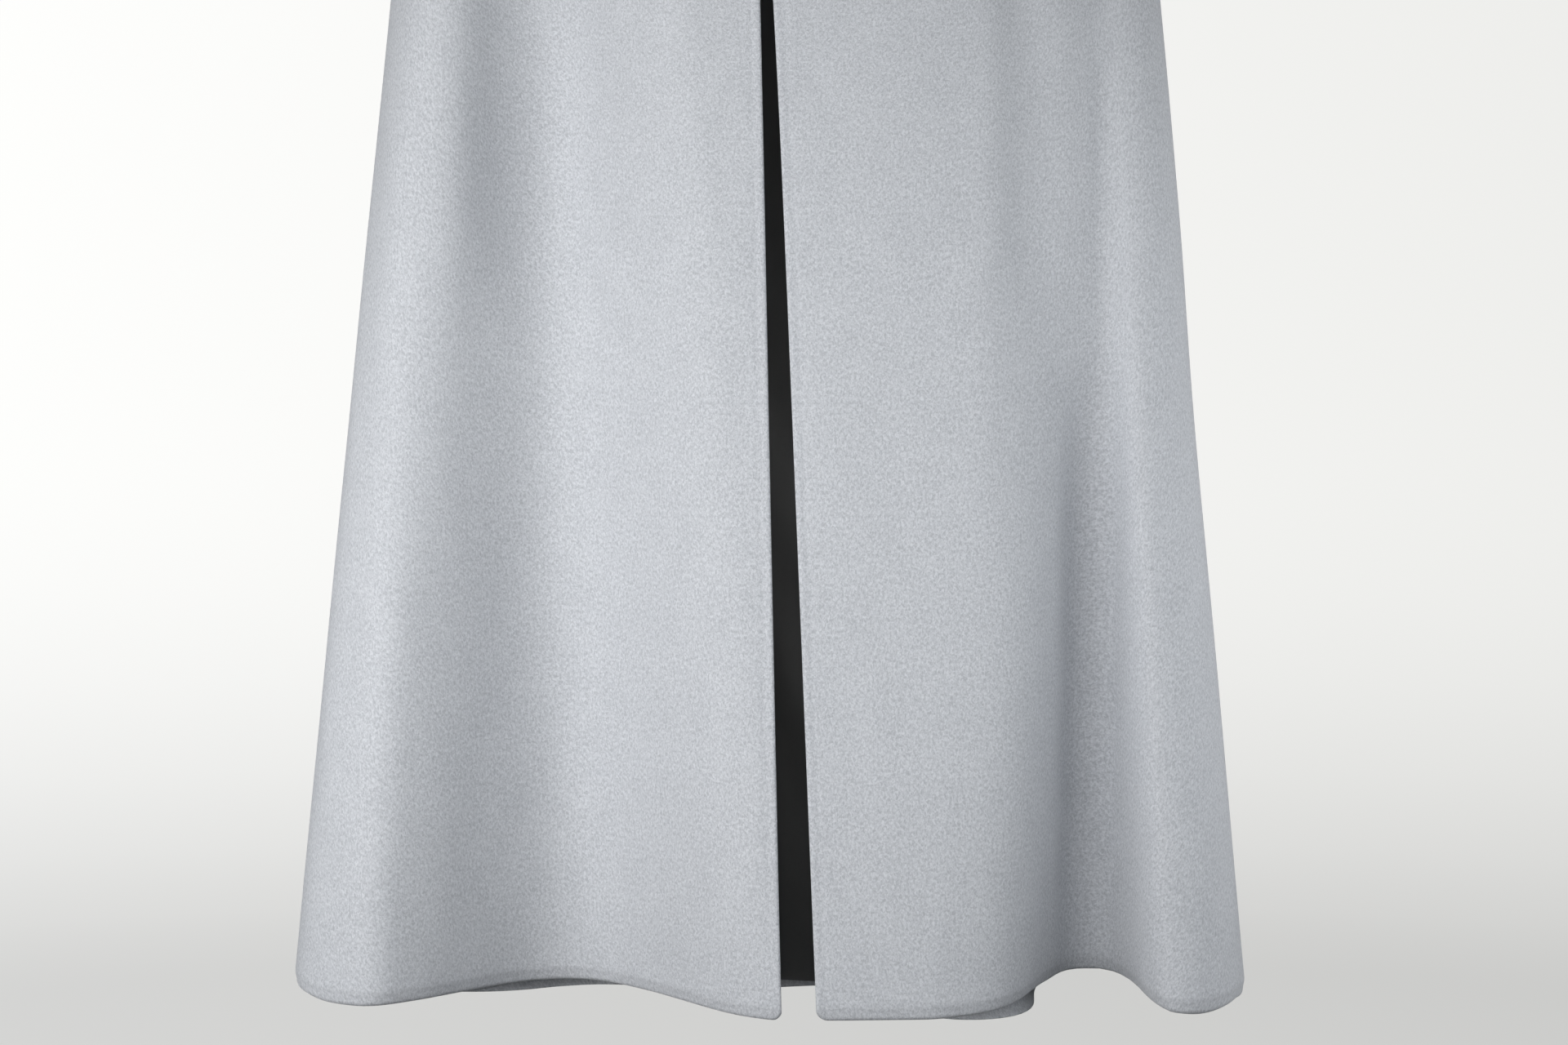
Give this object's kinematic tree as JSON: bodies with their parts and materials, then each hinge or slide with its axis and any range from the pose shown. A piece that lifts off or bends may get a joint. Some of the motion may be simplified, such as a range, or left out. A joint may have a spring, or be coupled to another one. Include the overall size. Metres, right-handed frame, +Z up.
{
  "type": "cape",
  "caption": "Long sleeveless cape of thick pale felted wool, open down the front, hollow as worn, with fronts that meet edge to edge and deep soft folds falling to the hem.",
  "frame": {"origin": "middle of the neck opening, level with the tops of the shoulder seams", "axes": "+Z up, -Y the wearer's front, +X the wearer's left"},
  "size_m": [0.619, 0.2227, 1.0147],
  "materials": {
    "wool": "pale blue-grey felted wool with a fine matte nap",
    "lining": "smooth black lining cloth",
    "wire": "plated wire"
  },
  "bodies": {
    "root": {"right_front": "wool", "left_front": "wool", "back": "wool", "back_lining": "lining", "neck_hook": "wire", "neck_eye": "wire"}
  },
  "joints": []
}
